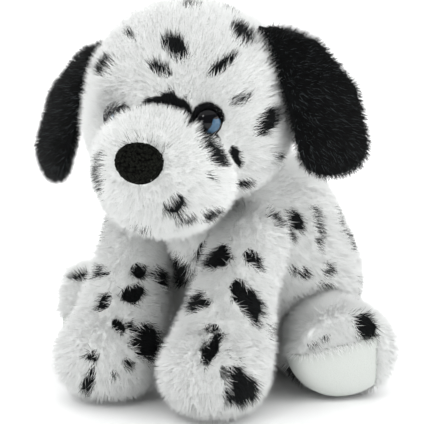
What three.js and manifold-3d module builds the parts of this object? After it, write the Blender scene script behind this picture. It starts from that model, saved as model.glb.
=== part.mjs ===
// A sitting plush puppy: sewn plush skins over fibre stuffing, with sprung fabric joints.
// Millimetres. The floor is z = 0, the puppy faces -Y, and its own left side is +X.
// Shapes are placed from a point on the floor under the shoulders; the whole group is then
// moved forwards so that the middle of the flat seat is the origin.
import * as THREE from "three";
import { mergeVertices } from "three/addons/utils/BufferGeometryUtils.js";
import Module from "manifold-3d";

const wasm = await Module();
wasm.setup();

// ---- driving dimensions -------------------------------------------------------------
const SKIN = 3; // backing cloth with its pile pressed flat
const SEAM = 0.4; // width of a seam line between two panels
const PACKING = 1; // room between a skin and the stuffing behind it
const SOCKET = 1.8; // room kept round a moving limb
const FINE = 4; // how finely the big outer shapes are faceted
const PLAIN = 3;
const ROUGH = 2;
const NOSE_CLOTH = 1.2;

const SEAT_MIDDLE = 36;
const TORSO_CORE = [0, 22, 74];
const TORSO = [
  { at: [0, 36, 54], size: [68, 64, 60] }, // rump
  { at: [0, 24, 88], size: [58, 58, 54] }, // back
  { at: [0, -14, 100], size: [40, 40, 40] }, // chest
];
const TORSO_BLEND = 5;
const CHEST_HALF_WIDTH = 20;
const CHEST_BACK_EDGE = 4;
const BASE_PANEL_TOP = 9;
const PELLET_BAG = [{ at: [0, 34, 16], size: [34, 32, 10] }];

const NECK = [0, -36, 124]; // where the head turns and nods
const NECK_RADIUS = 15;
const NECK_DEPTH = 12;
const NECK_CLOTH = 1.5;
const NECK_ROOM = 1.6;
const NECK_SIDES = 20;

const HEAD = [0, -48, 178];
const HEAD_TURN = 11; // the head looks a little to its own left
const SKULL = [
  { at: [0, 2, 2], size: [60, 57, 56] }, // dome
  { at: [0, -6, -14], size: [60, 52, 44] }, // cheeks
];
const MUZZLE_CORE = [0, -46, -32];
const MUZZLE = [
  { at: [0, -50, -29], size: [38, 37, 35] }, // round the nose
  { at: [0, -42, -37], size: [40, 36, 34] }, // jowls
];
const HEAD_BLEND = 3;
const CROWN_HALF_WIDTH = 17;
const CROWN_FRONT = -6; // height in the head where the crown gusset ends over the muzzle
const CHIN_TOP = -48; // height in the head of the seam over the chin panel
const NOSE_GAP = 0.3;
const NOSE_WAD_GAP = 0.2;
const NOSE = [{ at: [0, -84, -23], size: [14.5, 9, 12.5] }];

const EYE_TOWARDS = [27.5, -50, -3];
const EYE_RADIUS = 8.5;
const EYE_HEIGHT = 5.5;
const EYE_PLATE = 1.6;
const EYE_SINK = 2.2; // how deep an eye sits in the pile
const EYE_LEDGE = 0.3; // gap between the dome and the plate it is glued on
const EYE_SIDES = 18;
const STEM_SIDES = 10;
const STEM_RADIUS = 2.4;
const STEM_LENGTH = 13;
const WASHER_RADIUS = 8;
const WASHER_THICK = 1.6;
const WASHER_BEHIND = 1.4; // gap between the skin and the washer that grips the stem
const LID_WIDTH = 2.6;
const LID_THICK = 3;
const LID_FROM = -12; // an eyelid's arc runs from here, in degrees
const LID_ARC = 204;
const LID_HEM = 0.5; // its width at the corners
const LID_STEPS = 14;
const EYE_ROOM = 1.2; // room in the skin round an eye and its lid

const EAR_CORE = [76, 1, 2];
const EAR = [
  [42, 3, 42, 7, 13, 7],
  [63, 3, 31, 7, 21, 10],
  [79, 2, 6, 7.5, 27, 14],
  [87, 0, -24, 7.5, 26, 19],
];
const EAR_DROP = { left: 2, right: 11 }; // one ear hangs lower than the other
const EAR_FACING = -42; // the broad side of an ear looks forward by this much
const EAR_LEAN = -18; // slope of the seam round an ear's edge
const EAR_GAP = 1.4;

const SHOULDER = [37, -38, 97];
const FRONT_CORE = [35, -60, 60];
const FRONT_LEG = [
  [37, -38, 97, 22, 22, 22],
  [36, -54, 68, 22.5, 24, 24],
  [35, -68, 36, 29, 28, 29],
  [36, -78, 27, 31, 32, 27.5],
];
const FRONT_PELLETS = [{ at: [36, -76, 15], size: [20, 21, 9] }];

// A hind leg is made pointing along -Y from its hip, then turned outwards by its heading.
const HIP = [52, 24, 28];
const HIND_CORE = [0, -22, 1];
const HIND_LEG = [
  [0, 0, 0, 29, 29, 27.5],
  [0, -24, 0, 31, 28, 28],
  [0, -46, 1, 33.5, 26, 29],
];
const HEADING = { left: 43, right: 64 };
const REACH = { left: 1, right: 1.2 }; // the right leg is pulled out further than the left
const SOLE_OUT = 60; // distance of the sole from the hip
const SOLE_THICK = 5;
const SOLE_EDGE = 19; // how far across the end of the foot the sole reaches
const SOLE_TOP = 8; // and how far up, from the height of the hip
const SOLE_SLOPE = 11; // the seam over the sole rises by this many degrees
const END_ROUND = 9; // how far back from its end a foot starts to round over

const TAIL_ROOT = [0, 92, 40];
const TAIL_CORE = [0, 106, 44];
const TAIL = [
  [0, 92, 40, 12, 12, 12],
  [0, 108, 45, 10, 11, 10],
  [0, 124, 56, 9, 9, 9],
  [0, 133, 68, 7, 7, 8],
];

// How far each limb swings, in degrees; the neighbours are hollowed for these and a little more.
const SWING = {
  front: [-2, 0, 10, 20, 30],
  hind: [-1, 0, 10, 20],
  tail: [-25, -12, 0, 12, 25],
  nod: [-7, 0, 9],
  turn: [-13, 0, 13],
};

// ---- looks --------------------------------------------------------------------------
const look = (color, roughness, metalness = 0) => () =>
  new THREE.MeshStandardMaterial({ color, roughness, metalness });
const WHITE_PLUSH = look("#eceeed", 0.95);
const BLACK_PLUSH = look("#17191d", 0.92);
const SOLE_CLOTH = look("#e3e7e6", 0.85);
const NOSE_KNIT = look("#16161a", 0.8);
const FIBRE = look("#f4f4f1", 1);
const PELLETS = look("#d9dde0", 0.6);
const EYE_PLASTIC = look("#10131a", 0.08);
const EYE_BACK = look("#1b1d20", 0.35);
const WASHER_PLASTIC = look("#dcdcdc", 0.5);
const LID_FELT = look("#0e0f11", 0.85);

// ---- solids -------------------------------------------------------------------------
const vector = (a) => new THREE.Vector3(...a);
const radians = THREE.MathUtils.degToRad;

// A closed three.js geometry as a manifold solid.
function solid(geometry, matrix = new THREE.Matrix4()) {
  const plain = geometry.clone().applyMatrix4(matrix);
  plain.deleteAttribute("normal");
  plain.deleteAttribute("uv");
  const merged = mergeVertices(plain, 1e-4);
  return new wasm.Manifold(
    new wasm.Mesh({
      numProp: 3,
      vertProperties: merged.attributes.position.array,
      triVerts: new Uint32Array(merged.index.array),
    }),
  );
}

const join = (list) => list.reduce((a, b) => a.add(b));

// The biggest body of a solid, without the slivers a cut can leave.
const biggest = (body) =>
  body.decompose().reduce((a, b) => (a.volume() > b.volume() ? a : b));

// A box between two corners.
function block(low, high) {
  const a = vector(low);
  const b = vector(high);
  const size = b.clone().sub(a);
  const middle = a.add(b).multiplyScalar(0.5);
  return solid(
    new THREE.BoxGeometry(size.x, size.y, size.z).translate(middle.x, middle.y, middle.z),
  );
}

const FAR = 400;
const above = (z) => block([-FAR, -FAR, z], [FAR, FAR, FAR]);
const below = (z) => block([-FAR, -FAR, -FAR], [FAR, FAR, z]);
const leftOf = (x) => block([x, -FAR, -FAR], [FAR, FAR, FAR]);
const rightOf = (x) => block([-FAR, -FAR, -FAR], [x, FAR, FAR]);
const inFrontOf = (y) => block([-FAR, -FAR, -FAR], [FAR, y, FAR]);

// Balls strung between stations, each station being a centre and three radii.
function chain(stations, { perSpan = 8, facing = 0 } = {}) {
  const balls = [];
  for (let i = 0; i + 1 < stations.length; i++) {
    for (let k = 0; k < perSpan; k++) {
      const t = k / perSpan;
      const q = stations[i].map((v, j) => v * (1 - t) + stations[i + 1][j] * t);
      balls.push({ at: q.slice(0, 3), size: q.slice(3), facing });
    }
  }
  const last = stations[stations.length - 1];
  balls.push({ at: last.slice(0, 3), size: last.slice(3), facing });
  return balls;
}

// Roughly how far a point lies outside an ellipsoid; negative inside it.
function outside(point, { at, size, facing = 0 }) {
  const [x, y, z] = [0, 1, 2].map((i) => point[i] - at[i]);
  const c = Math.cos(radians(facing));
  const s = Math.sin(radians(facing));
  const q = [(x * c + y * s) / size[0], (y * c - x * s) / size[1], z / size[2]];
  const steep = [0, 1, 2].map((i) => q[i] / size[i]);
  const reach = Math.hypot(...q);
  return (reach * (reach - 1)) / (Math.hypot(...steep) || 1e-9);
}

// The field of a stuffed shape: lumps run together over the blend length.
function field(point, lumps, blend) {
  const near = lumps.map((lump) => outside(point, lump));
  const least = Math.min(...near);
  if (!blend) return least;
  return least - blend * Math.log(near.reduce((sum, d) => sum + Math.exp((least - d) / blend), 0));
}

// Presses a leg's reach along -Y into a gently rounded end.
function rounded(y, end) {
  const past = -y - (end - END_ROUND);
  return past > 0 ? END_ROUND - end - END_ROUND * Math.tanh(past / END_ROUND) : y;
}

// A stuffed shape seen from its core: every direction runs out to the field's surface,
// moved outwards by `offset`, and no further than `end` along -Y.
function stuffed(core, lumps, { blend = 0, offset = 0, detail = PLAIN, end = FAR } = {}) {
  const geometry = new THREE.IcosahedronGeometry(1, detail);
  const position = geometry.attributes.position;
  for (let i = 0; i < position.count; i++) {
    const way = [position.getX(i), position.getY(i), position.getZ(i)];
    const at = (r) => core.map((c, j) => c + way[j] * r);
    let inner = 0;
    while (inner < FAR && field(at(inner + 2), lumps, blend) < offset) inner += 2;
    let outer = inner + 2;
    for (let n = 0; n < 14; n++) {
      const middle = (inner + outer) / 2;
      if (field(at(middle), lumps, blend) < offset) inner = middle;
      else outer = middle;
    }
    const [x, y, z] = at(inner);
    position.setXYZ(i, x, rounded(y, end), z);
  }
  return solid(geometry);
}

// Turns a solid about a line through `pivot`.
function turned(body, pivot, axis, degrees) {
  const matrix = new THREE.Matrix4()
    .makeTranslation(...pivot)
    .multiply(new THREE.Matrix4().makeRotationAxis(vector(axis).normalize(), radians(degrees)))
    .multiply(new THREE.Matrix4().makeTranslation(...pivot.map((v) => -v)));
  return body.transform(matrix.elements);
}

// The room a limb needs while it swings: the hull of its positions.
const swept = (body, pivot, axis, angles) =>
  wasm.Manifold.hull(angles.map((angle) => turned(body, pivot, axis, angle)));

// The wall of a hollow that a limb slides on is finer than the walls behind it.
const roomFacets = (extra) => (extra ? ROUGH : PLAIN);

const mirrored = (body) => body.mirror([1, 0, 0]);

// ---- assembly -----------------------------------------------------------------------
const dog = new THREE.Group();
dog.name = "plush_dog";

function place(name, body, material) {
  const made = body.getMesh();
  const geometry = new THREE.BufferGeometry();
  const stride = made.numProp;
  const points = new Float32Array(made.numVert * 3);
  for (let i = 0; i < made.numVert; i++) {
    points.set(made.vertProperties.subarray(i * stride, i * stride + 3), i * 3);
  }
  geometry.setAttribute("position", new THREE.BufferAttribute(points, 3));
  geometry.setIndex(new THREE.BufferAttribute(made.triVerts, 1));
  geometry.computeVertexNormals();
  const mesh = new THREE.Mesh(geometry, material());
  mesh.name = name;
  dog.add(mesh);
}

// A piece made on the puppy's left, and its mirror image on the right.
function placePair(name, body, material) {
  place(name.replace("SIDE", "left"), body, material);
  place(name.replace("SIDE", "right"), mirrored(body), material);
}

// Front legs: two panels sewn down the front and back, fibre above, pellets in the paw.
const frontBalls = chain(FRONT_LEG);
const frontForm = (offset, detail) =>
  stuffed(FRONT_CORE, frontBalls, { offset, detail }).intersect(above(offset < 0 ? -offset : 0));
const SWING_AXIS = [-1, 0, 0];
const frontVoid = (extra) =>
  swept(frontForm(SOCKET + extra, roomFacets(extra)), SHOULDER, SWING_AXIS, SWING.front);
const frontSkin = frontForm(0, PLAIN).subtract(frontForm(-SKIN, ROUGH));
const frontSeam = FRONT_CORE[0];
placePair("front_leg_SIDE_outer", frontSkin.intersect(leftOf(frontSeam + SEAM / 2)), WHITE_PLUSH);
placePair("front_leg_SIDE_inner", frontSkin.intersect(rightOf(frontSeam - SEAM / 2)), WHITE_PLUSH);
const frontFill = frontForm(-SKIN - PACKING, ROUGH);
const frontPouch = (offset) =>
  stuffed(FRONT_PELLETS[0].at, FRONT_PELLETS, { offset, detail: ROUGH });
placePair("front_leg_SIDE_stuffing", biggest(frontFill.subtract(frontPouch(PACKING))), FIBRE);
placePair("front_paw_SIDE_pellets", frontPouch(0).intersect(frontFill), PELLETS);

// Hind legs: lying along the floor, with a sole of smooth cloth let into the end.
const HIND_AXIS = [-1, 0, 0];
const hindLegs = {};
function makeHindLeg(side) {
  const reach = REACH[side];
  const balls = chain(HIND_LEG.map(([x, y, ...rest]) => [x, y * reach, ...rest]));
  const end = SOLE_OUT * reach;
  const form = (offset, detail) =>
    stuffed(HIND_CORE, balls, { offset, detail, end: end + offset }).intersect(
      above(-HIP[2] + Math.max(-offset, 0)),
    );
  const soleRoom = (gap) =>
    inFrontOf(SOLE_THICK + gap - end)
      .intersect(rightOf(SOLE_EDGE + gap))
      .intersect(below(SOLE_TOP + gap).rotate([0, -SOLE_SLOPE, 0]));
  const stand = (body) => {
    const left = body.rotate([0, 0, HEADING[side]]).translate(HIP);
    return side === "left" ? left : mirrored(left);
  };
  const skin = form(0, PLAIN).subtract(form(-SKIN, ROUGH)).subtract(soleRoom(SEAM));
  const room = (extra) =>
    swept(form(SOCKET + extra, roomFacets(extra)), [0, 0, 0], HIND_AXIS, SWING.hind);
  return {
    upper: stand(biggest(skin.intersect(above(SEAM / 2)))),
    lower: stand(biggest(skin.intersect(below(-SEAM / 2)))),
    sole: stand(biggest(form(0, PLAIN).intersect(soleRoom(0)))),
    fill: stand(form(-SKIN - PACKING, ROUGH).subtract(soleRoom(PACKING))),
    room: (extra) => stand(room(extra)),
  };
}
for (const side of ["left", "right"]) {
  hindLegs[side] = makeHindLeg(side);
  place(`hind_leg_${side}_upper`, hindLegs[side].upper, WHITE_PLUSH);
  place(`hind_leg_${side}_lower`, hindLegs[side].lower, WHITE_PLUSH);
  place(`hind_foot_${side}_sole`, hindLegs[side].sole, SOLE_CLOTH);
  place(`hind_leg_${side}_stuffing`, hindLegs[side].fill, FIBRE);
}

// Tail.
const tailBalls = chain(TAIL);
const tailForm = (offset, detail) => stuffed(TAIL_CORE, tailBalls, { offset, detail });
const tailVoid = (extra) => swept(tailForm(SOCKET + extra, ROUGH), TAIL_ROOT, [0, 0, 1], SWING.tail);
const tailSkin = tailForm(0, PLAIN).subtract(tailForm(-SKIN, ROUGH));
place("tail_left", tailSkin.intersect(leftOf(SEAM / 2)), WHITE_PLUSH);
place("tail_right", tailSkin.intersect(rightOf(-SEAM / 2)), WHITE_PLUSH);
place("tail_stuffing", tailForm(-SKIN - PACKING, ROUGH), FIBRE);

// Head shapes are made about the head's own centre, then stood on the neck and turned.
const inPlace = (body) =>
  turned(body.translate(HEAD), NECK, [0, 0, 1], HEAD_TURN);
const neckInHead = NECK.map((v, i) => v - HEAD[i]);
const skullForm = (offset, detail) =>
  stuffed([0, 0, 0], SKULL, { blend: HEAD_BLEND, offset, detail });
const muzzleForm = (offset, detail) =>
  stuffed(MUZZLE_CORE, MUZZLE, { blend: HEAD_BLEND, offset, detail });
const neckBall = (radius) =>
  solid(new THREE.IcosahedronGeometry(radius, PLAIN).translate(...neckInHead));
const headForm = (offset, detail) => skullForm(offset, detail).add(muzzleForm(offset, detail));
const headVoid = (extra) =>
  swept(
    swept(inPlace(headForm(SOCKET + extra, roomFacets(extra))), NECK, [1, 0, 0], SWING.nod),
    NECK,
    [0, 0, 1],
    SWING.turn,
  );

// One eye: dome, plate with its stem, washer behind the skin, and a felt lid.
const eyeWay = vector(EYE_TOWARDS).normalize();
let eyeReach = 30;
while (field(eyeWay.clone().multiplyScalar(eyeReach).toArray(), SKULL, HEAD_BLEND) < 0) {
  eyeReach += 0.05;
}
const eyeSpot = eyeWay.clone().multiplyScalar(eyeReach).toArray();
const rise = (i) =>
  field(eyeSpot.map((v, j) => v + (i === j ? 1 : 0)), SKULL, HEAD_BLEND) -
  field(eyeSpot.map((v, j) => v - (i === j ? 1 : 0)), SKULL, HEAD_BLEND);
const eyeNormal = vector([rise(0), rise(1), rise(2)]).normalize();
const eyeFrame = new THREE.Matrix4()
  .makeTranslation(...eyeSpot)
  .multiply(new THREE.Matrix4().lookAt(eyeNormal, vector([0, 0, 0]), vector([0, 0, 1])));
const onEye = (geometry) => solid(geometry, eyeFrame);
const disc = (radius, low, high, sides = EYE_SIDES) =>
  new THREE.CylinderGeometry(radius, radius, high - low, sides)
    .rotateX(Math.PI / 2)
    .translate(0, 0, (low + high) / 2);
const plateBase = -EYE_SINK;
const domeBase = plateBase + EYE_PLATE + EYE_LEDGE;

// A quarter of an ellipse from the rim up to the axis, as a profile to be turned.
const quarter = (radius, height, base, steps) =>
  Array.from({ length: steps + 1 }, (_, i) => {
    const a = (i / steps) * (Math.PI / 2);
    const out = i < steps ? radius * Math.cos(a) : 0;
    return new THREE.Vector2(out, base + height * Math.sin(a));
  });
const domeProfile = [
  new THREE.Vector2(0, domeBase),
  ...quarter(EYE_RADIUS, EYE_HEIGHT, domeBase, 3),
];
const dome = onEye(new THREE.LatheGeometry(domeProfile, EYE_SIDES).rotateX(Math.PI / 2));
const eyePlate = onEye(disc(EYE_RADIUS, plateBase, plateBase + EYE_PLATE)).add(
  onEye(disc(STEM_RADIUS, -STEM_LENGTH, plateBase + EYE_PLATE / 2, STEM_SIDES)),
);
const washerTop = -SKIN - WASHER_BEHIND;
const washer = onEye(disc(WASHER_RADIUS, washerTop - WASHER_THICK, washerTop)).subtract(
  onEye(disc(STEM_RADIUS + EYE_LEDGE, -FAR, FAR, STEM_SIDES)),
);
const stemHole = onEye(
  disc(STEM_RADIUS + 2 * EYE_LEDGE, -STEM_LENGTH - SKIN - PACKING, EYE_HEIGHT, STEM_SIDES),
);
const washerRoom = onEye(disc(WASHER_RADIUS + PACKING, -STEM_LENGTH - PACKING, plateBase));
const lidInner = EYE_RADIUS + SEAM;
const lidPoint = (i, out) => {
  const a = radians(LID_FROM + (LID_ARC * i) / LID_STEPS);
  return new THREE.Vector2(out * Math.cos(a), out * Math.sin(a));
};
const lidRim = [];
for (let i = 0; i <= LID_STEPS; i++) {
  const wide = LID_HEM + LID_WIDTH * Math.sin((Math.PI * i) / LID_STEPS);
  lidRim.push(lidPoint(i, lidInner + wide));
}
for (let i = LID_STEPS; i >= 0; i--) lidRim.push(lidPoint(i, lidInner));
const lidSolid = new THREE.ExtrudeGeometry(new THREE.Shape(lidRim), {
  depth: LID_THICK,
  bevelEnabled: false,
});
const lid = onEye(lidSolid.translate(0, 0, plateBase));
const socketRadius = EYE_RADIUS + LID_WIDTH + EYE_ROOM;
const eyeSocket = (room) =>
  onEye(disc(socketRadius + room, plateBase - EYE_LEDGE - room, EYE_RADIUS * 2));

const bothEyes = (body) => body.add(mirrored(body));
const skullSkin = skullForm(0, FINE)
  .subtract(skullForm(-SKIN, PLAIN).subtract(neckBall(NECK_RADIUS + NECK_ROOM + SKIN)))
  .subtract(muzzleForm(SEAM, PLAIN))
  .subtract(neckBall(NECK_RADIUS + NECK_ROOM))
  .subtract(bothEyes(stemHole.add(eyeSocket(0))));
const crown = (gap) =>
  block(
    [-CROWN_HALF_WIDTH - gap, -FAR, CROWN_FRONT - gap],
    [CROWN_HALF_WIDTH + gap, FAR, FAR],
  );
place("head_crown_gusset", inPlace(skullSkin.intersect(crown(0))), WHITE_PLUSH);
const cheeks = skullSkin.subtract(crown(SEAM));
place("head_side_left", inPlace(cheeks.intersect(leftOf(SEAM / 2))), WHITE_PLUSH);
place("head_side_right", inPlace(cheeks.intersect(rightOf(-SEAM / 2))), WHITE_PLUSH);

const muzzleSkin = muzzleForm(0, PLAIN)
  .subtract(muzzleForm(-SKIN, ROUGH))
  .subtract(skullForm(0, FINE))
  .subtract(bothEyes(stemHole.add(eyeSocket(0))));
place(
  "muzzle_left",
  inPlace(muzzleSkin.intersect(leftOf(SEAM / 2)).intersect(above(CHIN_TOP + SEAM))),
  WHITE_PLUSH,
);
place(
  "muzzle_right",
  inPlace(muzzleSkin.intersect(rightOf(-SEAM / 2)).intersect(above(CHIN_TOP + SEAM))),
  WHITE_PLUSH,
);
place("chin_panel", inPlace(muzzleSkin.intersect(below(CHIN_TOP))), WHITE_PLUSH);
place(
  "head_stuffing",
  inPlace(
    skullForm(-SKIN - PACKING, PLAIN)
      .add(muzzleForm(-SKIN - PACKING, ROUGH))
      .subtract(neckBall(NECK_RADIUS + NECK_ROOM + SKIN + PACKING))
      .subtract(bothEyes(stemHole.add(washerRoom).add(eyeSocket(PACKING)))),
  ),
  FIBRE,
);

// The nose is sewn on to the front of the muzzle and stuffed with a little wad of its own.
const noseForm = (offset) => stuffed(NOSE[0].at, NOSE, { offset, detail: ROUGH });
const onMuzzle = (form) => form.subtract(muzzleForm(NOSE_GAP, PLAIN));
const noseRoom = noseForm(NOSE_WAD_GAP - NOSE_CLOTH);
place("nose_cloth", inPlace(onMuzzle(noseForm(0)).subtract(noseRoom)), NOSE_KNIT);
place("nose_padding", inPlace(onMuzzle(noseForm(-NOSE_CLOTH))), FIBRE);

for (const [side, flip] of [
  ["left", (body) => body],
  ["right", mirrored],
]) {
  place(`eye_${side}_dome`, inPlace(flip(dome)), EYE_PLASTIC);
  place(`eye_${side}_plate`, inPlace(flip(eyePlate)), EYE_BACK);
  place(`eye_${side}_washer`, inPlace(flip(washer)), WASHER_PLASTIC);
  place(`eyelid_${side}`, inPlace(flip(lid)), LID_FELT);
}

// Ears: two layers of plush with no stuffing, hanging from the seam of the crown.
const earBalls = chain(EAR, { facing: EAR_FACING });
const earSplit = (gap) =>
  solid(
    new THREE.BoxGeometry(FAR, FAR, FAR),
    new THREE.Matrix4()
      .makeTranslation(...EAR_CORE)
      .multiply(new THREE.Matrix4().makeRotationZ(radians(EAR_FACING)))
      .multiply(new THREE.Matrix4().makeRotationY(radians(EAR_LEAN)))
      .multiply(new THREE.Matrix4().makeTranslation(FAR / 2 + gap, 0, 0)),
  );
const earShape = stuffed(EAR_CORE, earBalls);
const skullBeside = skullForm(EAR_GAP, PLAIN);
for (const [side, flip] of [
  ["left", (body) => body],
  ["right", mirrored],
]) {
  const fall = (body) => body.translate([0, 0, -EAR_DROP[side]]);
  const outer = fall(earShape.intersect(earSplit(SEAM / 2))).subtract(skullBeside);
  const inner = fall(earShape.subtract(earSplit(-SEAM / 2))).subtract(skullBeside);
  place(`ear_${side}_outer`, inPlace(flip(biggest(outer))), BLACK_PLUSH);
  place(`ear_${side}_inner`, inPlace(flip(biggest(inner))), BLACK_PLUSH);
}

// Neck: a stuffed cloth plug with a round top, turning in the torso and nodding in the head.
const neckPlug = (radius, drop) => {
  const profile = [
    new THREE.Vector2(0, -drop),
    new THREE.Vector2(radius, -drop),
    ...quarter(radius, radius, 0, 5),
  ];
  return solid(
    new THREE.LatheGeometry(profile, NECK_SIDES).rotateX(Math.PI / 2).translate(...NECK),
  );
};
place(
  "neck_skin",
  neckPlug(NECK_RADIUS, NECK_DEPTH).subtract(neckPlug(NECK_RADIUS - NECK_CLOTH, NECK_DEPTH + 1)),
  WHITE_PLUSH,
);
const neckFill = neckPlug(NECK_RADIUS - NECK_CLOTH - SEAM, NECK_DEPTH - SEAM);
place("neck_stuffing", neckFill, FIBRE);

// Torso: two sides, a chest strip and a flat base, hollowed where the limbs and head press in.
const torsoForm = (offset, detail) =>
  stuffed(TORSO_CORE, TORSO, { blend: TORSO_BLEND, offset, detail }).intersect(
    above(offset < 0 ? -offset : 0),
  );
const neckWell = (extra) => neckPlug(NECK_RADIUS + 1 + extra, NECK_DEPTH + 1 + extra);
const pressedIn = (extra) => {
  const front = frontVoid(extra);
  const hind = [hindLegs.left.room(extra), hindLegs.right.room(extra)];
  return join([front, mirrored(front), ...hind, tailVoid(extra), headVoid(extra), neckWell(extra)]);
};
const torsoSkin = torsoForm(0, FINE)
  .subtract(torsoForm(-SKIN, PLAIN).subtract(pressedIn(SKIN)))
  .subtract(pressedIn(0));
const chestBlock = (extra) =>
  block(
    [-CHEST_HALF_WIDTH - extra, -FAR, BASE_PANEL_TOP + SEAM],
    [CHEST_HALF_WIDTH + extra, CHEST_BACK_EDGE + extra, FAR],
  );
place("torso_base_panel", torsoSkin.intersect(below(BASE_PANEL_TOP)), WHITE_PLUSH);
place("torso_chest_panel", torsoSkin.intersect(chestBlock(0)), WHITE_PLUSH);
const torsoSides = torsoSkin.intersect(above(BASE_PANEL_TOP + SEAM)).subtract(chestBlock(SEAM));
place("torso_side_left", torsoSides.intersect(leftOf(SEAM / 2)), WHITE_PLUSH);
place("torso_side_right", torsoSides.intersect(rightOf(-SEAM / 2)), WHITE_PLUSH);
const torsoFill = torsoForm(-SKIN - PACKING, PLAIN).subtract(pressedIn(SKIN + PACKING));
const bag = (offset) => stuffed(PELLET_BAG[0].at, PELLET_BAG, { offset, detail: ROUGH });
place("torso_pellet_bag", bag(0).intersect(torsoFill), PELLETS);
place("torso_stuffing", biggest(torsoFill.subtract(bag(PACKING))), FIBRE);

dog.position.y = -SEAT_MIDDLE;

export default dog;
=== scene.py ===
import math

import bmesh
import bpy
import numpy as np
from mathutils import Matrix, Vector


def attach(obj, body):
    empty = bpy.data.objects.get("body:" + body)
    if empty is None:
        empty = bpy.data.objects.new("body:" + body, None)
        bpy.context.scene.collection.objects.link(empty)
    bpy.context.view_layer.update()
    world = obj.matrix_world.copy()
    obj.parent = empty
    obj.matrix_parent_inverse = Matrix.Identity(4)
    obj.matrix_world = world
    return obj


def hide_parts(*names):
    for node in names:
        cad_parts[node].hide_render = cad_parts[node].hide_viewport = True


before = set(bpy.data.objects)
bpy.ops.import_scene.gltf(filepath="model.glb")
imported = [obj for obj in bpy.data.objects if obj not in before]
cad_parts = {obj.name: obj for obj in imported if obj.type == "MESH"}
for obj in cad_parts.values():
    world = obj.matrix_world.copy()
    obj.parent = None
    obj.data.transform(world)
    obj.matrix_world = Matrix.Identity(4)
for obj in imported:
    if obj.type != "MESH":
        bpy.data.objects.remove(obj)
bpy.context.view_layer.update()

# ---- driving dimensions, in millimetres, as the CAD draws them ----------------------
# Lumps are a centre and three radii. A limb's stations are x, y, z and three radii.
SEAT_MIDDLE = 36.0
BACKING = 3.2  # depth of the backing cloth under the brushed outline
CLOTH = 0.9  # thickness of the backing cloth
FLOOR_ROOM = 1.6  # how high the backing cloth of a resting panel stays off the floor
NECK = (0, -36, 124)
HEAD = (0, -48, 178)
HEAD_TURN = 11
EAR_DROP = {"left": 2, "right": 11}
EAR_FACING = -42
EAR_LEAN = -18
EAR_CORE = (76, 1, 2)
HIP = (52, 24, 28)
HEADING = {"left": 43, "right": 64}
REACH = {"left": 1.0, "right": 1.2}
SOLE_OUT = 60
END_ROUND = 9  # how far back from its end a foot starts to round over
SOLE_EDGE = 19  # how far across the foot's end the sole pad reaches
SOLE_WRAP = -10  # beyond this it goes on round the foot's inner side
SOLE_TOP = 8  # and how far up, from the hip's height
SHOULDER = (37, -38, 97)
LEG_SWING = (0, 14, 28)  # degrees a front leg leaves room for
HIND_LIFT = (0, 18)
WAG = (-22, 0, 22)
NOD = (-6, 0, 8)
LIMB_ROOM = 0.8  # gap between a limb and the torso's skin
EAR_ROOM = 0.6  # gap between an ear and the head
TORSO_BLEND = 5.0  # how softly the torso's lumps run together
HEAD_BLEND = 3.0
FRONT_CORE = (35, -60, 60)
TAIL_ROOT = (0, 92, 40)

TORSO = [
    ((0, 36, 54), (68, 64, 60)),
    ((0, 24, 88), (58, 58, 54)),
    ((0, -14, 100), (40, 40, 40)),
]
SKULL = [
    ((0, 2, 2), (60, 57, 56)),
    ((0, -6, -14), (60, 52, 44)),
]
MUZZLE = [
    ((0, -50, -29), (38, 37, 35)),
    ((0, -42, -37), (40, 36, 34)),
]
# The pile stands the ears' roots up off the crown, the left one's most.
EAR_ROOT = {"left": (38, -4, 39, 9, 20, 8), "right": (39, 3, 45, 7, 13, 7)}
EAR_PUFF = {"left": 3, "right": 0}
NOSE_AT = (0, -84, -23)
NOSE_SIZE = (14.5, 9, 12.5)
EAR = [
    (42, 3, 42, 7, 13, 7),
    (63, 3, 31, 7, 21, 10),
    (79, 2, 6, 7.5, 27, 14),
    (87, 0, -24, 7.5, 26, 19),
]
FRONT_LEG = [
    (37, -38, 97, 22, 22, 22),
    (36, -54, 68, 22.5, 24, 24),
    (35, -68, 36, 29, 28, 29),
    (36, -78, 27, 31, 32, 27.5),
]
HIND_LEG = [
    (0, 0, 0, 29, 29, 27.5),
    (0, -24, 0, 31, 28, 28),
    (0, -46, 1, 33.5, 26, 29),
]
TAIL = [
    (0, 92, 40, 12, 12, 12),
    (0, 108, 45, 10, 11, 10),
    (0, 124, 56, 9, 9, 9),
    (0, 133, 68, 7, 7, 8),
]
EYE_TOWARDS = (27.5, -50, -3)
EYE_RADIUS = 8.5
EYE_SINK = 2.2
EYE_PLATE = 1.6
EYE_HEIGHT = 5.5
EYE_LEDGE = 0.3  # gap between the dome and its plate


# ---- placing ------------------------------------------------------------------------
def move(x, y, z):
    m = np.eye(4)
    m[:3, 3] = (x, y, z)
    return m


def turn(axis, degrees, pivot=(0, 0, 0)):
    r = np.array(Matrix.Rotation(math.radians(degrees), 4, Vector(axis)))
    return move(*pivot) @ r @ move(*[-v for v in pivot])


MIRROR = np.diag([-1.0, 1.0, 1.0, 1.0])
TO_ROW = move(0, -SEAT_MIDDLE, 0)


def carried(matrix, points):
    return np.asarray(points, float) @ matrix[:3, :3].T + matrix[:3, 3]


def unit(v):
    return v / np.maximum(np.linalg.norm(v, axis=-1, keepdims=True), 1e-9)


# ---- stuffed shapes -----------------------------------------------------------------
def chain(stations, per_span=8, facing=0.0):
    """Balls strung between stations of a centre and three radii."""
    balls = []
    for a, b in zip(stations, stations[1:]):
        for k in range(per_span):
            q = np.array(a, float) * (1 - k / per_span) + np.array(b, float) * (k / per_span)
            balls.append((q[:3], q[3:], facing))
    last = np.array(stations[-1], float)
    return balls + [(last[:3], last[3:], facing)]


def lumps(pairs):
    return [(np.array(at, float), np.array(size, float), 0.0) for at, size in pairs]


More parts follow.
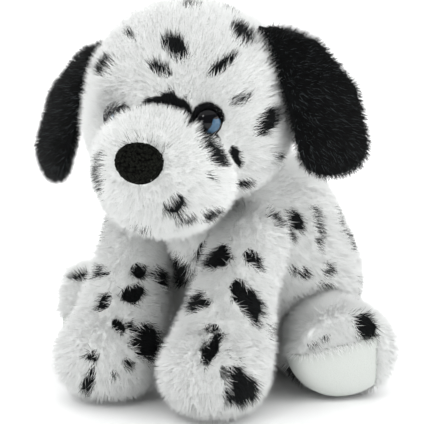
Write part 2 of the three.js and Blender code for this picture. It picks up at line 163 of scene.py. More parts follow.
def field(points, balls, blend):
    """Roughly how far points lie outside the balls run together; negative inside."""
    near = []
    for at, size, facing in balls:
        x, y, z = (points - at).T
        c, s = math.cos(math.radians(facing)), math.sin(math.radians(facing))
        q = np.stack([x * c + y * s, y * c - x * s, z], 1) / size
        reach = np.linalg.norm(q, axis=1)
        steep = np.maximum(np.linalg.norm(q / size, axis=1), 1e-9)
        near.append(reach * (reach - 1) / steep)
    near = np.array(near)
    least = near.min(0)
    if not blend:
        return least
    return least - blend * np.log(np.exp((least - near) / blend).sum(0))


STRIDE = 4.0  # how far a search for the surface steps at first
FARTHEST = 240  # and how far out it goes
HALVINGS = 9  # then it closes in by halves


class Shape:
    """A stuffed form in its own frame, stood in the puppy by a matrix."""

    def __init__(self, core, balls, blend=0.0, stand=None, floor=None, end=None):
        self.core = np.array(core, float)
        self.balls, self.blend = balls, blend
        self.stand = TO_ROW @ (np.eye(4) if stand is None else stand)
        self.back = np.linalg.inv(self.stand)
        self.floor, self.end = floor, end
        self.hollows = []
        self.bare = []  # (centre, radius) of balls where no pile grows
        self.shading = []  # (centre, full at, none at, pull) of spots the pile leans over

    def depth(self, row_points):
        return field(carried(self.back, row_points), self.balls, self.blend)

    def gone(self, local, offset):
        """Positive where local points are outside the form or inside a hollow."""
        out = field(local, self.balls, self.blend) - offset
        row = carried(self.stand, local)
        for other, room, pivot, axis, angles in self.hollows:
            for angle in angles:
                back = TO_ROW @ turn(axis, -angle, pivot) @ np.linalg.inv(TO_ROW)
                out = np.maximum(out, room - other.depth(carried(back, row)))
        return out

    def reach(self, ways, offset=0.0):
        """Distance from the core to the surface along each way."""
        inner = np.zeros(len(ways))
        active = np.arange(len(ways))
        while len(active):
            ahead = inner[active] + STRIDE
            ok = self.gone(self.core + ways[active] * ahead[:, None], offset) < 0
            ok &= ahead < FARTHEST
            inner[active[ok]] = ahead[ok]
            active = active[ok]
        outer = inner + STRIDE
        for _ in range(HALVINGS):
            middle = (inner + outer) / 2
            inside = self.gone(self.core + ways * middle[:, None], offset) < 0
            inner = np.where(inside, middle, inner)
            outer = np.where(inside, outer, middle)
        return inner

    def surface(self, level, offset):
        """Points in the shape's own frame, and triangles."""
        bm = bmesh.new()
        bmesh.ops.create_icosphere(bm, subdivisions=level, radius=1.0)
        ways = np.array([v.co for v in bm.verts])
        faces = np.array([[v.index for v in f.verts] for f in bm.faces])
        bm.free()
        local = self.core + ways * self.reach(ways, offset)[:, None]
        if self.floor is not None:
            local[:, 2] = np.maximum(local[:, 2], self.floor)
        if self.end is not None:
            flat = self.end - END_ROUND
            past = np.maximum(-local[:, 1] - flat, 0)
            rounded = -flat - END_ROUND * np.tanh(past / END_ROUND)
            local[:, 1] = np.where(past > 0, rounded, local[:, 1])
        return local, faces


head_stand = turn((0, 0, 1), HEAD_TURN, NECK) @ move(*HEAD)
torso = Shape((0, 22, 74), lumps(TORSO), TORSO_BLEND, floor=FLOOR_ROOM)
skull = Shape((0, 0, 0), lumps(SKULL), HEAD_BLEND, head_stand)
muzzle = Shape((0, -46, -32), lumps(MUZZLE), HEAD_BLEND, head_stand)
tail = Shape((0, 106, 44), chain(TAIL))
front = {}
hind = {}
ear = {}
X_AXIS = (-1, 0, 0)
Z_AXIS = (0, 0, 1)
for side, flip in (("left", np.eye(4)), ("right", MIRROR)):
    front[side] = Shape(FRONT_CORE, chain(FRONT_LEG), stand=flip, floor=FLOOR_ROOM)
    reach = REACH[side]
    stations = [(x, y * reach, *rest) for x, y, *rest in HIND_LEG]
    hind[side] = Shape(
        (0, -22, 1),
        chain(stations),
        stand=flip @ move(*HIP) @ turn((0, 0, 1), HEADING[side]),
        floor=-HIP[2] + FLOOR_ROOM,
        end=SOLE_OUT * reach - BACKING,
    )
    ear[side] = Shape(
        EAR_CORE,
        chain([EAR_ROOT[side], *EAR], facing=EAR_FACING),
        stand=head_stand @ flip @ move(0, 0, EAR_PUFF[side] - EAR_DROP[side]),
    )
    ear[side].hollows = [(skull, EAR_ROOM, (0, 0, 0), Z_AXIS, (0,))]
torso.hollows = [
    (front["left"], LIMB_ROOM, SHOULDER, X_AXIS, LEG_SWING),
    (front["right"], LIMB_ROOM, SHOULDER, X_AXIS, LEG_SWING),
    (hind["left"], LIMB_ROOM, HIP, X_AXIS, HIND_LIFT),
    (hind["right"], LIMB_ROOM, HIP, X_AXIS, HIND_LIFT),
    (tail, LIMB_ROOM, TAIL_ROOT, Z_AXIS, WAG),
    (skull, LIMB_ROOM, NECK, (1, 0, 0), NOD),
]


# ---- looks --------------------------------------------------------------------------
def material(name, base, roughness, sheen=0.0, sheen_tint=(1, 1, 1), shine=0.5):
    """A Principled material whose base colour is a node tree's output, made by `base`."""
    m = bpy.data.materials.new(name)
    m.use_nodes = True
    nodes, links = m.node_tree.nodes, m.node_tree.links
    shader = nodes["Principled BSDF"]
    shader.inputs["Roughness"].default_value = roughness
    shader.inputs["Sheen Weight"].default_value = sheen
    shader.inputs["Sheen Tint"].default_value = (*sheen_tint, 1)
    shader.inputs["Specular IOR Level"].default_value = shine
    base(nodes, links, shader)
    return m


def ramp(nodes, stops):
    node = nodes.new("ShaderNodeValToRGB")
    elements = node.color_ramp.elements
    while len(elements) < len(stops):
        elements.new(0.5)
    for element, (at, colour) in zip(elements, stops):
        element.position = at
        element.color = (*colour, 1)
    return node


def in_metres(nodes, links, texture):
    """Sizes a texture by the piece's own metres."""
    place = nodes.new("ShaderNodeTexCoord")
    links.new(place.outputs["Object"], texture.inputs["Vector"])
    return texture


PLUSH_TONES = [
    (0.0, (0.003, 0.0035, 0.004)),
    (0.35, (0.018, 0.02, 0.021)),
    (0.55, (0.4, 0.41, 0.4)),
    (0.7, (0.89, 0.905, 0.89)),
    (1.0, (0.955, 0.97, 0.96)),
]
EAR_TONES = [
    (0.0, (0.0006, 0.0008, 0.0008)),
    (0.55, (0.0018, 0.0022, 0.0024)),
    (0.8, (0.007, 0.009, 0.0095)),
    (1.0, (0.085, 0.1, 0.105)),
]


def multiplied(nodes, links, first, second, shader):
    """Makes the product of two colours the base colour."""
    mix = nodes.new("ShaderNodeMix")
    mix.data_type = "RGBA"
    mix.blend_type = "MULTIPLY"
    mix.inputs["Factor"].default_value = 1.0
    links.new(first, mix.inputs["A"])
    links.new(second, mix.inputs["B"])
    links.new(mix.outputs["Result"], shader.inputs["Base Color"])


def pile_base(nodes, links, shader, stops=PLUSH_TONES):
    """Each fibre keeps its tone across the map and its length up it, with painted shade darkening it
    towards its root.
    """
    uv = nodes.new("ShaderNodeUVMap")
    uv.uv_map = "OFBake"
    split = nodes.new("ShaderNodeSeparateXYZ")
    tones = ramp(nodes, stops)
    # painted shade: each fibre darker towards its root, as deep in the pile
    depth = ramp(nodes, [(0.0, (0.84, 0.85, 0.84)), (0.5, (1, 1, 1)), (1.0, (1, 1, 1))])
    links.new(uv.outputs["UV"], split.inputs[0])
    links.new(split.outputs["X"], tones.inputs["Fac"])
    links.new(split.outputs["Y"], depth.inputs["Fac"])
    multiplied(nodes, links, tones.outputs["Color"], depth.outputs["Color"], shader)


def ear_base(nodes, links, shader):
    pile_base(nodes, links, shader, EAR_TONES)


def backing_base(nodes, links, shader):
    """Knitted backing cloth, dyed as the pile over it."""
    tone = nodes.new("ShaderNodeAttribute")
    tone.attribute_name = "tone"
    tones = ramp(nodes, PLUSH_TONES)
    noise = in_metres(nodes, links, nodes.new("ShaderNodeTexNoise"))
    noise.inputs["Scale"].default_value = 900.0
    add = nodes.new("ShaderNodeMath")
    add.operation = "MULTIPLY_ADD"
    add.inputs[1].default_value = 0.12
    links.new(noise.outputs["Fac"], add.inputs[0])
    links.new(tone.outputs["Fac"], add.inputs[2])
    links.new(add.outputs[0], tones.inputs["Fac"])
    links.new(tones.outputs["Color"], shader.inputs["Base Color"])


def speckled(low, high, scale):
    """Two colours mottled finely, for cloth, fibre and plastic."""

    def base(nodes, links, shader):
        noise = in_metres(nodes, links, nodes.new("ShaderNodeTexNoise"))
        noise.inputs["Scale"].default_value = scale
        noise.inputs["Detail"].default_value = 4.0
        tones = ramp(nodes, [(0.3, low), (0.7, high)])
        links.new(noise.outputs["Fac"], tones.inputs["Fac"])
        links.new(tones.outputs["Color"], shader.inputs["Base Color"])

    return base


def woven_with_hollow_shade(low, high, scale, height):
    """A cloth with a fine weave that stands up in relief, with painted shade darkening the hollows
    between its loops.
    """

    def base(nodes, links, shader):
        cells = in_metres(nodes, links, nodes.new("ShaderNodeTexVoronoi"))
        cells.inputs["Scale"].default_value = scale
        # painted shade: darker where the bump sinks between the loops
        tones = ramp(nodes, [(0.0, high), (0.8, low)])
        bump = nodes.new("ShaderNodeBump")
        bump.inputs["Distance"].default_value = height
        bump.invert = True
        links.new(cells.outputs["Distance"], tones.inputs["Fac"])
        links.new(cells.outputs["Distance"], bump.inputs["Height"])
        links.new(tones.outputs["Color"], shader.inputs["Base Color"])
        links.new(bump.outputs["Normal"], shader.inputs["Normal"])

    return base


PILE = material("plush pile", pile_base, 0.85, sheen=0.06, shine=0.1)
EAR_PILE = material("black plush pile", ear_base, 0.6, sheen=0.05, shine=0.12)
BACK = material("plush backing", backing_base, 0.95, shine=0.1)
# The sole cloth is white; its grey here is painted shade, for the pad gets less light than the pile
# round it.
SOLE_WITH_PAINTED_SHADE = material("sole cloth with painted shade", woven_with_hollow_shade((0.54, 0.565, 0.54), (0.6, 0.625, 0.6), 2200, 0.0001), 0.9)
KNIT = material(
    "nose knit", woven_with_hollow_shade((0.0004, 0.0004, 0.0003), (0.013, 0.0145, 0.011), 700, 0.0006), 0.8, shine=0.05,
)
FELT = material("eyelid felt", speckled((0.004, 0.004, 0.005), (0.02, 0.02, 0.024), 700), 0.9, shine=0.1)
FILL = material("fibre fill", speckled((0.8, 0.8, 0.78), (0.95, 0.95, 0.93), 260), 1.0)
BEADS = material("bead bag cloth", woven_with_hollow_shade((0.6, 0.62, 0.66), (0.8, 0.82, 0.84), 500, 0.0004), 0.8)
PLASTIC = material("eye back plastic", speckled((0.01, 0.01, 0.012), (0.02, 0.02, 0.022), 90), 0.35)
WASHER = material("washer plastic", speckled((0.7, 0.7, 0.7), (0.8, 0.8, 0.8), 120), 0.5)
NECK_CLOTH = material("neck cloth", woven_with_hollow_shade((0.7, 0.71, 0.7), (0.9, 0.9, 0.9), 900, 0.0003), 0.95)


def riding(name, mesh, body):
    """An object of a mesh, riding on a body."""
    made = bpy.data.objects.new(name, mesh)
    bpy.context.scene.collection.objects.link(made)
    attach(made, body)
    return made


def mesh_object(name, points, faces, look, body):
    """A smooth mesh from points in millimetres of the row frame."""
    mesh = bpy.data.meshes.new(name)
    faces = faces.tolist() if isinstance(faces, np.ndarray) else faces
    mesh.from_pydata((np.asarray(points) / 1000).tolist(), [], faces)
    mesh.polygons.foreach_set("use_smooth", [True] * len(mesh.polygons))
    mesh.materials.append(look)
    mesh.update()
    return riding(name, mesh, body)


# ---- markings, with painted shade at the muzzle's creases ---------------------------
# Each spot: yaw from straight ahead towards the shape's +X, pitch upwards, both in
# degrees about the shape's core, then half width, half height, tilt and strength.
# On the skull, the arch over the muzzle's bridge and the marks down the left cheek beside
# the muzzle are black patches that also carry painted shadow of the creases there.
SPOTS_AND_SHADE = {
    "skull": [
        (8, 40, 10, 5.5, -50, 1),  # forehead
        (-1, 26, 7, 3, -20, 1),
        (40, 28, 12, 3, 30, 0.8),
        (49, 7, 7, 3.5, 10, 0.6),  # beside the left eye
        (66, -6, 10, 5.5, 35, 1),
        (33, -16, 10, 4, -60, 0.9),  # left cheek, along the muzzle: a black spot and painted shadow of the fold at the muzzle's edge
        (47, -24, 7, 2.5, -55, 1),
        (33, -34, 4, 1.5, -65, 0.8),
        (62, -44, 8, 4, 0, 0.9),
        (-51, 22, 10, 6.5, 10, 0.8),  # by the right ear
        (-41, 45, 7, 2, -15, 1),
        (19, 83, 6, 5.5, -50, 1),  # top of the dome
        (69, 46, 9, 7.5, 55, 1),  # left ear's root
        (85, -29, 10, 3, -20, 0.9),
        (-10, 5, 5.5, 1.6, 30, 1),  # dark arch over the bridge of the muzzle: a black patch and painted shadow of the crease there
        (-3, 7, 7, 3, 15, 1),
        (5, 7, 8, 5.5, -5, 1),
        (12, 4, 8, 5.5, -30, 1),
        (18, -1, 7, 4.5, -50, 1),
        (21, -5, 6, 4, -60, 1),
        (33, -19, 9, 4, -60, 1),  # down the cheek beside the muzzle: a black spot and painted shadow of the fold there
        (46, -23, 6.4, 2.2, -60, 1),
    ],
    "muzzle": [
        (-48, -3, 12, 6.5, 80, 0.7),
        (58, 54, 6, 2.5, 70, 0.9),
        (66, 34, 8, 4.5, -80, 0.95),
        (72, 20, 10.5, 6, -45, 1),
        (63, 1, 3.3, 1.4, -50, 1),
        (29, -23, 7.7, 5.4, 55, 0.95),
        (45, -40, 5.5, 3.6, 10, 1),
        (81, -37, 9, 5, -5, 1),
        (0, 27, 13, 5, 0, 0.25),  # grey over the nose
        (-20, -60, 5, 4, 0, 1),
    ],
    "torso": [
        (11, 13, 9, 4.5, 25, 1),  # chest
        (-12, 0, 16, 8, 45, 1),
        (2, 2, 3, 2, 30, 1),
        (-4, -9, 4, 2, 45, 1),
        (35, 30, 3.5, 2.5, 20, 1),
        (64, 30, 8, 5, -50, 1),  # left flank
        (56, 24, 8, 3.5, -45, 0.8),
        (83, 24, 13, 4, 85, 0.7),
        (61, 0, 3, 2.5, -75, 0.8),
        (68, -2, 4, 3.5, 0, 1),
        (85, -3, 5.5, 3.5, 30, 1),
        (120, 11, 12, 4.5, -25, 0.6),
        (84, -11, 9, 1, -5, 0.8),
        (8, 27, 4.8, 2.2, 20, 1),
    ],
    "front_right": [
        (-63, 52, 5, 4, 5, 1),
        (-44, 16, 8, 5.5, -15, 1),
        (1, -1, 5.5, 3.5, -70, 1),
        (-23, -21, 5, 1.7, 30, 1),
        (-53, -35, 12.5, 6.5, 30, 1),
        (-112, 30, 10, 5, 50, 1),
        (-6, -30, 3.5, 2, 5, 1),
        (-2, -44, 10, 3.5, -60, 1),
        (-22, -40, 2, 1.5, 30, 1),
        (-32, -37, 3, 2, 35, 1),
    ],
    "front_left": [
        (100, 63, 6.5, 2.5, -85, 1),
        (67, 18, 11.5, 7.5, -60, 1),
        (47, 50, 5, 4, 35, 1),
        (-34, 17, 9.5, 5.5, 15, 1),
        (-59, 78, 9.6, 4, 35, 1),
        (-39, 84, 7, 4, 30, 1),
        (8, -11, 4.5, 2, 0, 1),
        (14, -21, 6, 4, 30, 1),
        (38, -43, 15, 7.5, -50, 1),
        (100, -25, 4, 4, 0, 1),
    ],
    "hind_left": [
        (18, 27, 10, 6.5, -60, 1),
        (-31, 12, 3, 1, 30, 1),
        (-20, 18, 4.5, 1, 20, 0.9),
        (27, 0, 1.2, 1.2, 0, 1),
        (12, -31, 5, 2, -5, 1),
        (-50, -32, 10, 5, 0, 1),
        (-72, -30, 12, 6, 0, 1),
    ],
    "hind_right": [
        (-20, 31, 6, 4, -30, 1),
    ],
}


def ripple(points, length, seed):
    """Smooth noise, about -1 to 1, whose bumps are roughly `length` across."""
    rng = np.random.default_rng(seed)
    total = np.zeros(len(points))
    for _ in range(6):
        wave = rng.normal(size=3)
        wave *= 2 * math.pi / length * rng.uniform(0.6, 1.5) / np.linalg.norm(wave)
        total += np.sin(points @ wave + rng.uniform(0, 2 * math.pi))
    return total / 2.6


def way_of(yaw, pitch):
    a, e = math.radians(yaw), math.radians(pitch)
    return np.array([math.sin(a) * math.cos(e), -math.cos(a) * math.cos(e), math.sin(e)])


# Parts of each shape whose markings can't be told are dotted at random: yaw and pitch
# ranges, how many, how far apart in degrees, and how the draw is seeded.
DOTTED = {
    "skull": [(100, 260, -50, 70, 15, 19, 3)],
    "torso": [(115, 245, -30, 65, 22, 18, 5), (245, 330, -30, 60, 12, 18, 25)],
    "front_right": [(30, 200, -50, 60, 9, 28, 6)],
    "front_left": [(120, 220, -50, 60, 5, 28, 8)],
    "hind_left": [(60, 170, -20, 50, 6, 26, 9)],
    "hind_right": [(30, 170, -20, 50, 7, 26, 12)],
    "tail": [(0, 360, -40, 70, 4, 40, 14)],
}
TRIES = 40  # draws allowed for each spot


def scattered(low_yaw, high_yaw, low_pitch, high_pitch, count, room, draw):
    """Spots strewn over a range of directions, none of them close to another."""
    dice = np.random.default_rng(draw)
    chosen = []
    for _ in range(TRIES * count):
        yaw, pitch = dice.uniform(low_yaw, high_yaw), dice.uniform(low_pitch, high_pitch)
        size = dice.uniform(4, 11), dice.uniform(2.5, 6), dice.uniform(-90, 90)
        near = [way_of(yaw, pitch) @ way_of(*spot[:2]) for spot in chosen]
        if len(chosen) < count and max(near, default=-1) < math.cos(math.radians(room)):
            chosen.append((yaw, pitch, *size, 1))
    return chosen


for place, zones in DOTTED.items():
    for zone in zones:
        SPOTS_AND_SHADE.setdefault(place, []).extend(scattered(*zone))


def laid_out(shape, spots):
    """The spots as places on the shape, each with its directions across, up and out."""
    made = []
    bare = Shape(shape.core, shape.balls, shape.blend)
    for yaw, pitch, wide, tall, tilt, strength in spots:
        way = way_of(yaw, pitch)
        centre = bare.core + way * bare.reach(way[None])[0]
        up = unit(np.array([0, 0, 1.0]) - way * way[2])
        across = np.cross(up, way)
        c, s = math.cos(math.radians(tilt)), math.sin(math.radians(tilt))
        made.append((centre, across * c + up * s, up * c - across * s, way, wide, tall, strength))
    return made


def darkness(laid, local, seed):
    """0 in the white and up to 1 in a spot, at points in the shape's own frame."""
    dark = np.zeros(len(local))
    wobble = 0.16 * ripple(local, 10.0, seed) + 0.07 * ripple(local, 4.0, seed + 1)
    for centre, along, over, out, wide, tall, strength in laid:
        away = local - centre
        a, b, h = away @ along, away @ over, away @ out
        value = np.sqrt((a / wide) ** 2 + (b / tall) ** 2 + (h / (max(wide, tall) + 12)) ** 2)
        inside = strength * np.clip((1.02 + wobble - value) / 0.3 + 0.5, 0, 1)
        dark = np.maximum(dark, inside)
    return dark


# ---- skins and pile -----------------------------------------------------------------
def corner_normals(points, faces):
    """The surface's direction at each point, and each triangle's area."""
    a, b, c = points[faces[:, 0]], points[faces[:, 1]], points[faces[:, 2]]
    flat = np.cross(b - a, c - a)
    normals = np.zeros_like(points)
    for k in range(3):
        np.add.at(normals, faces[:, k], flat)
    return unit(normals), np.linalg.norm(flat, axis=1) / 2


SOFT_NORMAL = 0.85  # share of the skin's own direction in how a fibre catches light
LOWEST = 0.3  # fibres stop this far above the floor
LOWEST_SPREAD = 0.2  # or up to this much more
TONE_SPREAD = 0.004  # how far a fibre's map stretches across its tone
UP_THE_FIBRE = (0.03, 0.06, 0.03, 0.97)  # where its three roots and its tip lie along it, which sets its painted root shade


def fibres(name, roots, normal, along, length, width, tone, body, rng, look):
    """Tapered three-sided fibres as one mesh. Millimetres, row frame."""
    n = len(roots)
    side = unit(np.cross(along, rng.normal(size=(n, 3))))
    other = np.cross(along, side)
    verts, facing = np.zeros((n, 4, 3)), np.zeros((n, 4, 3))
    for k, a in enumerate(math.radians(d) for d in (0, 120, 240)):
        ring = side * math.cos(a) + other * math.sin(a)
        verts[:, k] = roots + ring * (width * 0.5)[:, None]
        facing[:, k] = unit(normal * SOFT_NORMAL + ring * (1 - SOFT_NORMAL))
    verts[:, 3] = roots + along * length[:, None]
    facing[:, 3] = normal
    verts[:, :, 2] = np.maximum(verts[:, :, 2], LOWEST + LOWEST_SPREAD * rng.random((n, 4)))
    one = np.array([0, 1, 3, 1, 2, 3, 2, 0, 3, 2, 1, 0])
    loops = ((np.arange(n) * 4)[:, None] + one).ravel()
    mesh = bpy.data.meshes.new(name)
    mesh.vertices.add(n * 4)
    mesh.vertices.foreach_set("co", (verts / 1000).astype(np.float32).ravel())
    mesh.loops.add(len(loops))
    mesh.loops.foreach_set("vertex_index", loops.astype(np.int32))
    mesh.polygons.add(n * 4)
    mesh.polygons.foreach_set("loop_start", np.arange(0, n * 12, 3, dtype=np.int32))
    layer = mesh.uv_layers.new(name="OFBake")
    u = np.repeat(tone[:, None], 4, 1) + np.array([-1, 0, 1, 0]) * TONE_SPREAD
    v = np.tile(UP_THE_FIBRE, (n, 1))
    uv = np.stack([u, v], 2).reshape(-1, 2)[loops]
    layer.data.foreach_set("uv", uv.astype(np.float32).ravel())
    mesh.materials.append(look)
    mesh.update(calc_edges=True)
    mesh.normals_split_custom_set_from_vertices(facing.reshape(-1, 3))
    riding(name, mesh, body)


DENSITY = 1.5  # fibres to a square millimetre
NO_PANEL = -1  # label of the places that no panel covers
WHITE_TONE = 0.84  # the backing cloth's dye under white pile
DYED = 0.8  # how much darker it is under a spot
COMBED = 0.4  # pull of the comb on a fibre's direction
SWAYING = 0.11  # pull of the tuft it is in
STRAY = 0.19  # and of chance
TUFT = 8.0  # about how wide a tuft of pile is
REACHING = 0.45  # how much longer a fibre is where it leans over an eye
PRESSED = 3.0  # length of the pile that the toy sits on
CROWDED = 7  # pile is shorter where a neighbour is nearer than this
SPOT_SHORTER = 0.85  # dark fibres beside white ones


def sewn(node, points, faces, tones, body):
    """The backing cloth of one panel, dyed as the pile over it."""
    used, small = np.unique(faces, return_inverse=True)
    skin = mesh_object(node + "_skin", points[used], small.reshape(-1, 3), BACK, body)
    tone = skin.data.attributes.new("tone", "FLOAT", "POINT")
    tone.data.foreach_set("value", tones[used].astype(np.float32))
    thick = skin.modifiers.new("cloth", "SOLIDIFY")
    thick.thickness = CLOTH / 1000
    thick.offset = -1.0
    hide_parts(node)


def brushed(shape, roots, inner, normal, flow, lift, seed, rng):
    """Which way each fibre points, and how much longer it is for leaning."""
    flow = unit(flow - normal * (flow * normal).sum(1)[:, None])
    sway = np.stack([ripple(roots, TUFT, seed + 10 + k) for k in range(3)], 1)
    loose = rng.normal(size=(len(roots), 3))
    along = unit(normal * lift + flow * COMBED + sway * SWAYING + loose * STRAY)
    reaching = np.ones(len(roots))
    for centre, low, high, pull in shape.shading:
        away = np.linalg.norm(inner - centre, axis=1)
        strength = np.clip(pull * (high - away) / (high - low), 0, 1)
        reaching = np.maximum(reaching, 1 + REACHING * strength)
        towards = unit(carried(shape.stand, centre[None]) - roots)
        along = unit(along + towards * strength[:, None])
    return along, reaching


def cropped(shape, beside, roots, inner, long):
    """Fibres kept short where a neighbour or the floor leaves them little room."""
    for other, *_ in shape.hollows:
        near = other.depth(roots)
        short = np.minimum(long, 3.0 + np.maximum(near, 0) * 0.6)
        long = np.where(near < CROWDED, short, long)
    for other, start in beside:
        near = other.depth(roots)
        long = np.minimum(long, 2.0 + np.maximum(near + start, 0) * 0.9)
    if shape.floor is not None:
        long = np.where(inner[:, 2] < shape.floor + 0.4, PRESSED, long)
    return long


def black_tones(count, rng):
    return rng.uniform(0.02, 1.0, count) ** 1.6 * 0.97 + 0.01


def spotted_tones(dark, rng):
    """White or black fibres, with greys strewn along the edges of the spots."""
    count = len(dark)
    is_dark = dark > rng.uniform(0.25, 0.75, count)
    shade = np.where(is_dark, rng.uniform(0.02, 0.3, count), rng.uniform(0.78, 0.985, count))
    edge = (dark > 0.1) & (dark < 0.8) & (rng.random(count) < 0.25)
    return np.where(edge, rng.uniform(0.4, 0.6, count), shade)


def dressed(shape, body, nodes, panel_of, comb, spots, seed, level=6, length=9.0, width=0.5,
            hidden=(), beside=(), all_black=False, lift=0.72, dense=1.0):
    """Backing cloth and pile for a shape. `panel_of` labels points in the shape's own
    frame with their place in `nodes`, the CAD's panels."""
    rng = np.random.default_rng(seed)
    local, faces = shape.surface(level, -BACKING)
    row = carried(shape.stand, local)
    if np.linalg.det(shape.stand[:3, :3]) < 0:
        faces = faces[:, ::-1]
    normals, areas = corner_normals(row, faces)
    centres = local[faces].mean(1)
    label = panel_of(centres)
    for other, deep in hidden:
        label = np.where(other.depth(carried(shape.stand, centres)) < -deep, NO_PANEL, label)
    laid = laid_out(shape, spots)
    dark_at = np.ones(len(local)) if all_black else darkness(laid, local, seed)
    tone_at = WHITE_TONE - DYED * dark_at
    for index, node in enumerate(nodes):
        chosen = np.nonzero(label == index)[0]
        if not len(chosen):
            continue
        sewn(node, row, faces[chosen], tone_at, body)
        share = areas[chosen] / areas[chosen].sum()
        count = int(areas[chosen].sum() * DENSITY * dense)
        pick = rng.choice(chosen, size=count, p=share)
        r1, r2 = np.sqrt(rng.random(count)), rng.random(count)
        mix = np.stack([1 - r1, r1 * (1 - r2), r1 * r2], 1)[:, :, None]
        roots = (row[faces[pick]] * mix).sum(1)
        inner = (local[faces[pick]] * mix).sum(1)
        normal = unit((normals[faces[pick]] * mix).sum(1))
        flow = comb(inner, roots)
        along, reaching = brushed(shape, roots, inner, normal, flow, lift, seed, rng)
        long = length * rng.uniform(0.75, 1.1, count) * reaching
        long = cropped(shape, beside, roots, inner, long)
        if all_black:
            shade = black_tones(count, rng)
        else:
            shade = spotted_tones(darkness(laid, inner, seed), rng)
            long = np.where(shade < 0.7, long * SPOT_SHORTER, long)
        wide = width * rng.uniform(0.7, 1.2, count)
        keep = np.ones(count, bool)
        for centre, radius in shape.bare:
            keep &= np.linalg.norm(inner - centre, axis=1) > radius
        fibres(
            node + "_pile", (roots - normal * 0.5)[keep], normal[keep], along[keep], long[keep],
            wide[keep], shade[keep], body, rng, EAR_PILE if all_black else PILE,
        )


def side_of(points):
    return np.where(points[:, 0] > 0, 0, 1)


# Torso: two sides, a chest strip and a flat base.
CHEST_HALF, CHEST_BACK, BASE_TOP = 20.2, 4, 9.2


def torso_panel(points):
    x, y, z = points.T
    label = side_of(points)
    label = np.where((np.abs(x) < CHEST_HALF) & (y < CHEST_BACK), 2, label)
    return np.where(z < BASE_TOP, 3, label)


def downwards(inner, roots):
    flat = np.ones(len(roots))
    return np.stack([roots[:, 0] * 0.004, 0.2 * flat, -flat], 1)


dressed(
    torso, "torso",
    ["torso_side_left", "torso_side_right", "torso_chest_panel", "torso_base_panel"],
    torso_panel, downwards, SPOTS_AND_SHADE["torso"], 11,
)


# Head: a crown gusset, two sides, and a muzzle of two halves with a chin.
GUSSET_HALF, GUSSET_LOW, CHIN_TOP = 17.2, -6.2, -48


def skull_panel(points):
    x, y, z = points.T
    return np.where((np.abs(x) < GUSSET_HALF) & (z > GUSSET_LOW), 0, 1 + side_of(points))


def muzzle_panel(points):
    return np.where(points[:, 2] < CHIN_TOP, 2, side_of(points))


nose_row = carried(head_stand, np.array([NOSE_AT], float))[0] - np.array([0, SEAT_MIDDLE, 0])


def from_nose(inner, roots):
    return unit(roots - nose_row)


def brow(inner, roots):
    return unit(roots - nose_row) * 0.6 + np.array([0, 0, 0.3])


eye_way = unit(np.array(EYE_TOWARDS, float))
eye_at = eye_way * skull.reach(eye_way[None])[0]
other_eye = eye_at * (-1, 1, 1)
skull.bare = [(eye_at + (0, 0, 1.2), 7.2), (other_eye + (6, 0, 1.5), 3.2)]
skull.shading = [
    (eye_at + (2, 0, -3), 8.0, 13.0, 0.35),
    (other_eye + (8, -1, 1), 5.0, 30.0, 1.5),
]
muzzle.bare = [(eye_at, 8.0), (np.array(NOSE_AT, float), 11.5)]
dressed(
    skull, "head", ["head_crown_gusset", "head_side_left", "head_side_right"],
    skull_panel, brow, SPOTS_AND_SHADE["skull"], 21,
    hidden=[(muzzle, 6.0)], beside=[(muzzle, 1.0)],
)
dressed(
    muzzle, "head", ["muzzle_left", "muzzle_right", "chin_panel"],
    muzzle_panel, from_nose, SPOTS_AND_SHADE["muzzle"], 31, length=8.0,
    hidden=[(skull, 6.0)], beside=[(skull, 3.0)],
)


# Legs, ears and tail.
KNEE_SEAM = 35  # how far across the front legs' two panels meet
PAD_THICK = 3.0
PAD_SUNK = 1.6
PAD_CLEAR = 1.0  # room under the pad


def front_panel(points):
    return np.where(points[:, 0] > KNEE_SEAM, 0, 1)


def on_sole(points):
    return (points[:, 0] < SOLE_EDGE) & (points[:, 2] < SOLE_TOP + 0.2 * points[:, 0])


def at_end(points, end):
    """On the end of a hind foot, and round its inner side as well."""
    round_over = np.where(points[:, 0] < SOLE_WRAP, 2.4, 0.8)
    return points[:, 1] < -end + END_ROUND * round_over


def sole_pad(side):
    """The smooth pad sewn into the end of a hind leg, a little domed."""
    leg = hind[side]
    pad = Shape(leg.core, leg.balls, floor=-HIP[2] + PAD_CLEAR, end=SOLE_OUT * REACH[side] - 0.8)
    local, faces = pad.surface(6, -PAD_SUNK)
    centres = local[faces].mean(1)
    kept = faces[at_end(centres, pad.end) & on_sole(centres)]
    used, small = np.unique(kept, return_inverse=True)
    points = carried(leg.stand, local[used])
    small = small.reshape(-1, 3)
    if side == "right":
        small = small[:, ::-1]
    body = "hind_leg_" + side
    made = mesh_object(f"hind_foot_{side}_pad", points, small, SOLE_WITH_PAINTED_SHADE, body)
    thick = made.modifiers.new("cloth", "SOLIDIFY")
    thick.thickness = PAD_THICK / 1000
    thick.offset = -1.0
    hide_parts(f"hind_foot_{side}_sole")


def hind_panel(side):
    """Labels for a hind leg's upper and lower panels, clear of its sole."""
    end = SOLE_OUT * REACH[side] - BACKING

    def panel(points):
        on_pad = at_end(points, end) & on_sole(points)
        return np.where(on_pad, NO_PANEL, np.where(points[:, 2] > 0, 0, 1))

    return panel


def ear_panel(points):
    across = move(*EAR_CORE) @ turn((0, 0, 1), EAR_FACING) @ turn((0, 1, 0), EAR_LEAN)
    return np.where(carried(np.linalg.inv(across), points)[:, 0] > 0, 0, 1)


